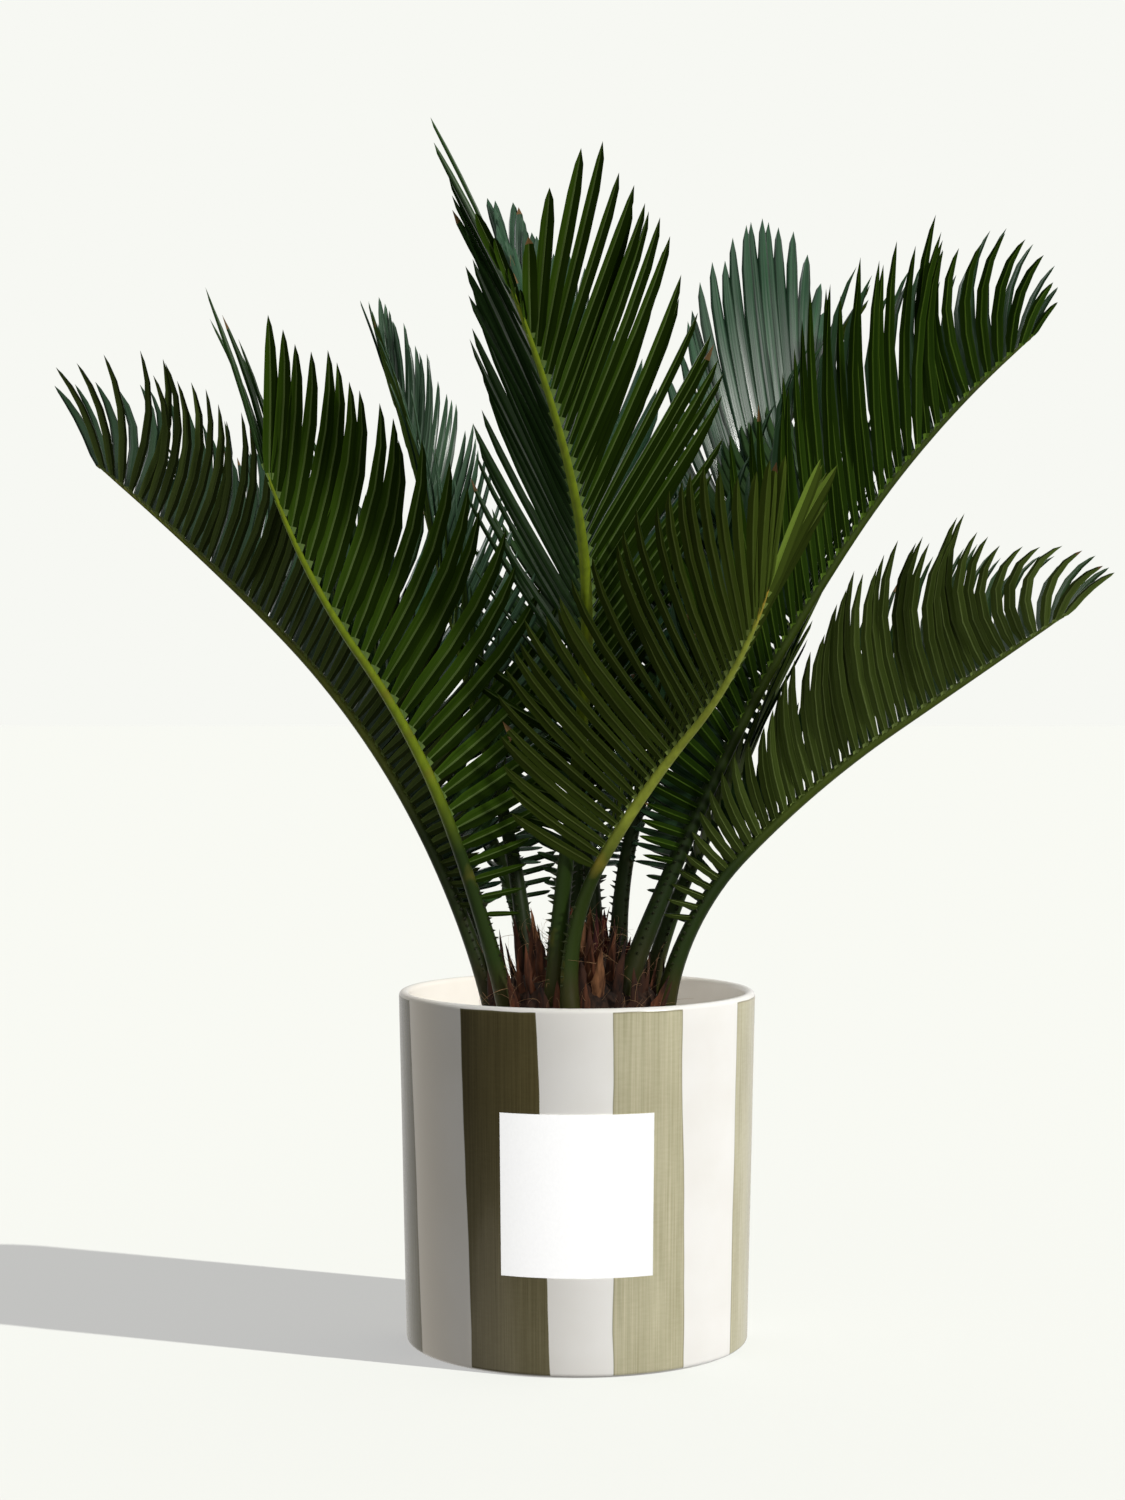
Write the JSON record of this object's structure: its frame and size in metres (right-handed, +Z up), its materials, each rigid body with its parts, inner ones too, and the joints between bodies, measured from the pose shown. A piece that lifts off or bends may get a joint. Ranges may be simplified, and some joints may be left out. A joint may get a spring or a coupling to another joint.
{
  "type": "potted sago palm",
  "caption": "Young sago palm with a short scaly trunk and stiff arching feather fronds, planted in a straight-sided glazed pot with broad painted stripes and a bare label.",
  "frame": {"origin": "centre of the pot's flat underside", "axes": "+Z up along the pot's axis; -Y is the front, which the label faces; +X to the right of someone who looks at the label"},
  "size_m": [0.5421, 0.5612, 0.6379],
  "materials": {
    "glaze": "off-white glaze with broad hand-painted sage stripes",
    "label": "matt white paper",
    "soil": "loose dark bark compost",
    "trunk": "rough brown bark of old leaf bases",
    "scale_leaves": "dry fibrous red-brown scale leaves",
    "fronds": "stiff leathery dark green leaflets on a yellow-green stalk"
  },
  "bodies": {
    "root": {"pot": "glaze", "label": "label", "soil": "soil", "trunk": "trunk", "bud": "scale_leaves", "frond_left": "fronds", "frond_front_left": "fronds", "frond_front_tall": "fronds", "frond_front_right": "fronds", "frond_right_high": "fronds", "frond_right_low": "fronds", "frond_right_inner": "fronds", "frond_back_right": "fronds", "frond_back_tall": "fronds", "frond_back_left": "fronds", "frond_back_low": "fronds", "frond_left_rear": "fronds", "frond_rear_left": "fronds"}
  },
  "joints": []
}
